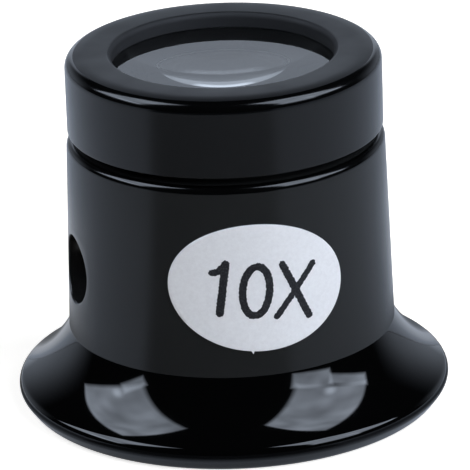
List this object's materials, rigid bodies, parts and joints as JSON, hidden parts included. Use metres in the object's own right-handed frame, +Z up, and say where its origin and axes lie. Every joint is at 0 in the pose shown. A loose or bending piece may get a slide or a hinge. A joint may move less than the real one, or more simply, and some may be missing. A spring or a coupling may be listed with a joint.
{
  "type": "jeweler loupe",
  "caption": "Jeweler's eye loupe: a flared eyecup barrel with vent holes, a screw cap over a stacked lens pair, and an oval magnification label.",
  "frame": {"origin": "centre of the eye rim's resting face, on the optical axis", "axes": "+Z up the optical axis to the screw cap; X along the two vent holes; the oval label faces -Y, a little towards -X"},
  "size_m": [0.036, 0.036, 0.0302],
  "materials": {
    "barrel_plastic": "moulded ABS, glossy flare and satin barrel",
    "cap_plastic": "satin moulded ABS",
    "spacer_plastic": "matt moulded plastic",
    "lens_glass": "polished optical glass",
    "label_film": "satin silver-white film"
  },
  "bodies": {
    "barrel": {"eyecup_barrel": "barrel_plastic", "rear_lens": "lens_glass", "lens_spacer": "spacer_plastic", "magnification_label": "label_film"},
    "front_glass": {"front_lens": "lens_glass"},
    "cap": {"lens_cap": "cap_plastic"}
  },
  "joints": [
    {"name": "cap_lift", "type": "slide", "parent": "barrel", "child": "front_glass", "axis": [0, 0, 1], "range_m": [0, 0.003]},
    {"name": "cap_turn", "type": "hinge", "parent": "front_glass", "child": "cap", "pos_m": [0, 0, 0.026], "axis": [0, 0, 1], "range_deg": [0, 1080]}
  ],
  "couplings": [
    {"joint": "cap_lift", "follows": "cap_turn", "m_per_rad": 0.00015915}
  ]
}
